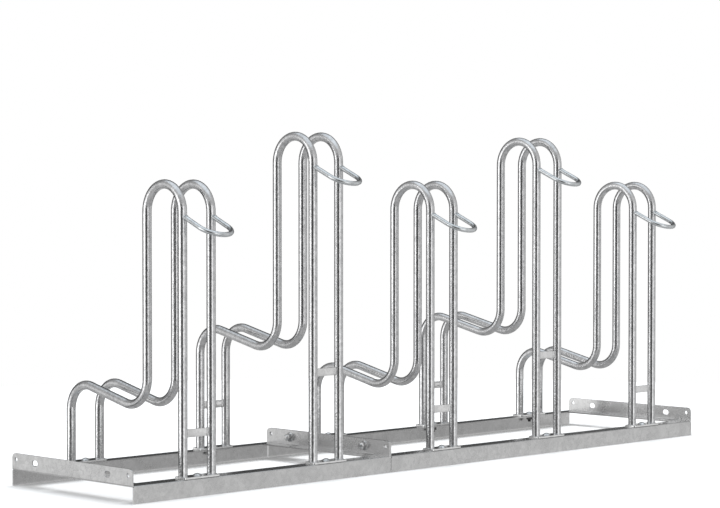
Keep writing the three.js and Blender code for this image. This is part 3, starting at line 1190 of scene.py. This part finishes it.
@dataclass
class JoinBolt:
    """One of the bolts that hold two units together: head to the right, nut to the left."""

    name: str
    x: float
    y: float
    z: float = 51.5
    radius: float = 5.0
    hex_width: float = 15.0
    head_height: float = 7.0
    nut_height: float = 8.0
    flange_radius: float = 10.75
    flange_top_radius: float = 8.6
    flange_sides: int = 48
    flange_height: float = 2.0
    flange_edge: float = 0.4
    stand_out: float = 4.5
    sink: float = 0.5
    lap: float = 2.0
    chamfer: float = 0.7
    thread_pitch: float = 1.5

    def build(self) -> list[Object]:
        """Makes the bolt and its nut.

        Returns:
            The two finished pieces.
        """
        # From the joint: half its gap, the crossbar, and the gap under the head or nut.
        grip = SIZES.angle_thickness + 1.5 * SIZES.seat_gap
        axis_point = Vector((self.x, self.y, self.z))
        bolt, nut = Shape(), Shape()
        for shape, way, height in (
            (bolt, X_AXIS, self.head_height), (nut, -X_AXIS, self.nut_height)
        ):
            seat = axis_point + way * grip
            shoulder = seat + way * self.flange_height
            verts = shape.cylinder(
                seat, shoulder, self.flange_radius, self.flange_sides, self.flange_top_radius
            )
            shape.bevel(shape.sharp_edges(among=verts), self.flange_edge, EASE_STEPS)
            sunk, top = shoulder - way * self.sink, shoulder + way * height
            hexagon(shape, sunk, top, self.hex_width, self.chamfer)
        nut_end = axis_point - X_AXIS * (grip + self.flange_height + self.nut_height)
        tip = nut_end - X_AXIS * self.stand_out
        thread(bolt, nut_end + X_AXIS * self.lap, tip, self.radius, self.thread_pitch)
        shank_radius, shank_sides = self.radius - 0.6, 28
        bolt.cylinder(
            axis_point + X_AXIS * grip, nut_end + X_AXIS, shank_radius, shank_sides
        )
        return [
            bolt.finish(f"{self.name}_bolt", "fastener"),
            nut.finish(f"{self.name}_nut", "fastener"),
        ]


@dataclass
class BaseUnit:
    """Two rails and two crossbars."""

    number: int
    start: float
    end: float

    def build(self) -> list[Object]:
        """Builds the four pieces.

        Returns:
            The finished pieces.
        """
        name = f"base_{self.number}"
        half_gap = SIZES.seat_gap / 2
        left, right = self.start + half_gap, self.end - half_gap
        rail_left, rail_right = left + Rail.end_gap, right - Rail.end_gap
        parts: list[Rail | Crossbar] = [
            Rail(f"{name}_front_rail", rail_left, rail_right, Face.FRONT),
            Rail(f"{name}_rear_rail", rail_left, rail_right, Face.REAR),
            Crossbar(f"{name}_left_crossbar", left, End.LEFT),
            Crossbar(f"{name}_right_crossbar", right, End.RIGHT),
        ]
        return [part.build() for part in parts]


@dataclass
class BikeRack:
    """The whole rack."""

    pieces: list[Object] = field(default_factory=list)

    def build(self) -> None:
        """Builds every unit, holder and joining bolt."""
        start, number = 0.0, 1
        for index, count in enumerate(SIZES.holders_per_unit, start=1):
            end = start + count * SIZES.pitch
            self.pieces += BaseUnit(index, start, end).build()
            for place in range(count):
                x = start + (place + 0.5) * SIZES.pitch
                self.pieces += WheelHolder(number, x).build()
                number += 1
            if index < len(SIZES.holders_per_unit):
                front, rear = Crossbar("", end, End.RIGHT).join_places
                self.pieces += JoinBolt(f"join_{index}_front", end, front).build()
                self.pieces += JoinBolt(f"join_{index}_rear", end, rear).build()
            start = end
        LOG.info("%d pieces", len(self.pieces))


# ------------------------------------------------------------------ studio


def aim(thing: Object, place: Vector, direction: Vector) -> None:
    """Puts a camera or a lamp in its place and points it."""
    thing.location = place
    thing.rotation_mode = "QUATERNION"
    thing.rotation_quaternion = direction.to_track_quat("-Z", "Y")


@dataclass(frozen=True)
class Camera:
    """The photograph's camera, found from the rack's straight edges."""

    place: tuple[float, float, float] = (-2677.1, -3338.9, 594.4)
    azimuth: float = math.radians(44.53)
    pitch: float = math.radians(1.56)
    focal_pixels: float = 2239.0
    image_width: float = 720.0
    sensor: float = 36.0

    def build(self) -> None:
        """Makes the camera and gives it to the scene."""
        data = bpy.data.cameras.new("camera")
        data.sensor_width = self.sensor
        data.lens = self.focal_pixels * self.sensor / self.image_width
        data.clip_start, data.clip_end = 0.05, 60.0
        camera = add_object("camera", data)
        level = math.cos(self.pitch)
        forward = Vector((
            math.sin(self.azimuth) * level, math.cos(self.azimuth) * level, -math.sin(self.pitch)
        ))
        aim(camera, rack_origin() + Vector(self.place) * MM, forward)
        bpy.context.scene.camera = camera


@dataclass(frozen=True)
class SoftBox:
    """A large square lamp that points at the rack, and that the steel doesn't mirror."""

    name: str
    place: tuple[float, float, float]
    width: float
    height: float
    power: float
    target: tuple[float, float, float] = (0.0, 0.0, 0.25)

    def build(self) -> None:
        """Makes the lamp."""
        data = bpy.data.lights.new(self.name, "AREA")
        data.shape = "RECTANGLE"
        data.size, data.size_y = self.width, self.height
        data.energy = self.power
        lamp = add_object(self.name, data)
        lamp.visible_glossy = False
        place = Vector(self.place)
        aim(lamp, place, Vector(self.target) - place)


@dataclass(frozen=True)
class StudioWalls:
    """The room round the rack: white panels with darker stretches between them.

    Each stop is a bearing and a level of brightness. Bearings are in turns anticlockwise from
    the row's right-hand end, seen from above, so 0.25 is straight behind the rack. A span is
    where the view's upward part takes one level over into the next. The ground's level is what
    the steel mirrors from below, where neither the floor nor the shaded sheet is mirrored.
    """

    lower: tuple[tuple[float, float], ...] = (
        (0.00, 0.50), (0.06, 0.18), (0.126, 0.04), (0.20, 0.08), (0.315, 0.12),
        (0.337, 0.95), (0.357, 1.10), (0.372, 0.62), (0.388, 0.62), (0.41, 2.50),
        (0.465, 2.50), (0.51, 0.95), (0.54, 0.35), (0.575, 0.05), (0.632, 0.05),
        (0.665, 0.40), (0.70, 1.60), (0.75, 1.50), (0.795, 0.66), (0.874, 0.80),
        (0.95, 0.72), (1.00, 0.55),
    )
    upper: tuple[tuple[float, float], ...] = (
        (0.00, 0.60), (0.06, 0.25), (0.13, 0.08), (0.25, 0.35), (0.34, 0.50),
        (0.45, 0.80), (0.62, 0.60), (0.75, 0.80), (0.90, 0.70), (1.00, 0.60),
    )
    ceiling: float = 1.25
    ceiling_colour: str = "f2f9ff"
    ground: float = 0.62
    upper_span: tuple[float, float] = (0.22, 0.45)
    ground_span: tuple[float, float] = (-0.4, -0.2)
    ceiling_span: tuple[float, float] = (0.66, 0.9)

    def build(self) -> None:
        """Makes the world."""
        world = bpy.data.worlds.new("studio")
        bpy.context.scene.world = world
        tree = empty_tree(world)
        way = add_node(tree, "TexCoord").outputs["Generated"]
        parts = add_node(tree, "SeparateXYZ", {"Vector": way})
        height = parts.outputs["Z"]
        bearing = maths(tree, "ARCTAN2", parts.outputs["Y"], parts.outputs["X"])
        turns = maths(tree, "MULTIPLY", bearing, 1 / (math.tau))
        turns = maths(tree, "WRAP", turns, 1.0, 0.0)
        lower = self.panels(tree, self.lower, turns)
        upper = self.panels(tree, self.upper, turns)
        walls = self.fade(tree, height, self.upper_span, lower, upper)
        walls = self.fade(tree, height, self.ground_span, self.ground, walls)
        shade = add_node(tree, "CombineColor", dict.fromkeys(("Red", "Green", "Blue"), walls))
        overhead = ranged(tree, height, self.ceiling_span, curve="SMOOTHSTEP")
        ceiling = [self.ceiling * c for c in linear(self.ceiling_colour)[:3]]
        colour = blend(tree, overhead, shade.outputs["Color"], (*ceiling, 1.0))
        room, white = (
            add_node(tree, "Background", {"Color": seen}).outputs["Background"]
            for seen in (colour, WHITE)
        )
        by_camera = add_node(tree, "LightPath").outputs["Is Camera Ray"]
        shown = add_node(tree, "MixShader", {"Fac": by_camera, 1: room, 2: white})
        add_node(tree, "OutputWorld", {"Surface": shown.outputs[0]})

    def panels(
        self, tree: NodeTree, stops: tuple[tuple[float, float], ...], bearing: NodeSocket
    ) -> NodeSocket:
        """Turns a bearing into the level of the wall there.

        Args:
            tree: The world's node tree.
            stops: Bearings and levels.
            bearing: The bearing, in turns.

        Returns:
            The level.
        """
        brightest = max(level for _, level in stops)
        ramp = add_node(tree, "ValToRGB", {"Fac": bearing})
        elements = ramp.color_ramp.elements
        while len(elements) < len(stops):
            elements.new(0.5)
        for element, (place, level) in zip(elements, stops):
            share = level / brightest
            element.position = place
            element.color = (share, share, share, 1.0)
        return maths(tree, "MULTIPLY", ramp.outputs["Color"], brightest)

    def fade(
        self,
        tree: NodeTree,
        height: NodeSocket,
        span: tuple[float, float],
        below: NodeSocket | float,
        above: NodeSocket,
    ) -> NodeSocket:
        """Goes softly from one level to another as the view rises.

        Args:
            tree: The world's node tree.
            height: The upward part of the view's direction.
            span: Where the change starts and ends.
            below: The level under it.
            above: The level over it.

        Returns:
            The level at this height.
        """
        share = ranged(tree, height, span, curve="SMOOTHSTEP")
        inputs = {"Factor": share, 2: below, 3: above}
        return add_node(tree, "Mix", inputs, data_type="FLOAT").outputs[0]


def studio_sheet(
    name: str, bm: bmesh.types.BMesh, finish: str
) -> tuple[Object, NodeTree]:
    """Makes a sheet of the studio from its mesh.

    Args:
        name: The sheet's name.
        bm: Its mesh, which is freed.
        finish: The name of its material.

    Returns:
        The sheet, and its material's empty node tree.
    """
    mesh = bpy.data.meshes.new(name)
    bm.to_mesh(mesh)
    bm.free()
    sheet = add_object(name, mesh)
    material = bpy.data.materials.new(finish)
    mesh.materials.append(material)
    return sheet, empty_tree(material)


@dataclass(frozen=True)
class Floor:
    """A plain white floor that keeps the rack's soft shadow, and that the steel doesn't mirror."""

    radius: float = 2.2
    sides: int = 96
    colour: str = "e8e8e8"
    lift: float = 0.14

    def build(self) -> None:
        """Makes the floor."""
        bm = bmesh.new()
        bmesh.ops.create_circle(bm, cap_ends=True, segments=self.sides, radius=self.radius)
        floor, tree = studio_sheet("floor", bm, "white_studio_floor")
        floor.visible_glossy = False
        paint = add_node(tree, "BsdfDiffuse", {"Color": linear(self.colour)})
        path = add_node(tree, "LightPath")
        strength = maths(tree, "MULTIPLY", path.outputs["Is Camera Ray"], self.lift)
        glow = add_node(tree, "Emission", {"Color": WHITE, "Strength": strength})
        both = add_node(tree, "AddShader", {0: paint.outputs[0], 1: glow.outputs[0]})
        add_node(tree, "OutputMaterial", {"Surface": both.outputs[0]})


@dataclass(frozen=True)
class PaintedFloorShade:
    """Painted shade: a glowing sheet that only the steel's reflections see, standing for the
    shaded floor between the rails. It shows only there.
    """

    inset: float = 12.0
    height: float = 0.4
    level: float = 0.5

    def build(self) -> None:
        """Makes the sheet."""
        bm = bmesh.new()
        length = SIZES.pitch * sum(SIZES.holders_per_unit)
        low = Vector((self.inset, self.inset, self.height))
        high = Vector((length - self.inset, SIZES.base_depth - self.inset, self.height))
        place = Matrix.Translation(rack_origin() + (low + high) / 2 * MM)
        size = Matrix.Diagonal((*((high - low).xy * MM), 1.0, 1.0))
        bmesh.ops.create_grid(bm, x_segments=1, y_segments=1, size=0.5, matrix=place @ size)
        sheet, tree = studio_sheet("painted_shade_sheet", bm, "painted_floor_shade")
        sheet.visible_camera = False
        sheet.visible_diffuse = False
        sheet.visible_shadow = False
        sheet.visible_transmission = False
        # Painted shade: the glow is the level at which the steel mirrors the shaded floor.
        glow = add_node(tree, "Emission", {"Color": WHITE, "Strength": self.level})
        add_node(tree, "OutputMaterial", {"Surface": glow.outputs[0]})


@dataclass(frozen=True)
class Studio:
    """The camera, the floor, the walls and the lamps."""

    lamps: tuple[SoftBox, ...] = (
        SoftBox("overhead_lamp", (0.5, 0.7, 3.4), 3.2, 2.4, 95.0),
    )

    def build(self) -> None:
        """Sets up everything round the rack."""
        Camera().build()
        Floor().build()
        PaintedFloorShade().build()
        StudioWalls().build()
        for lamp in self.lamps:
            lamp.build()
        bpy.context.scene.view_settings.view_transform = "Standard"


def main() -> None:
    """Builds the rack and its studio."""
    logging.basicConfig(level=logging.INFO, format="%(name)s: %(message)s")
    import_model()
    for finish in FINISHES.values():
        finish.build()
    BikeRack().build()
    Studio().build()


if __name__ == "__main__":
    main()
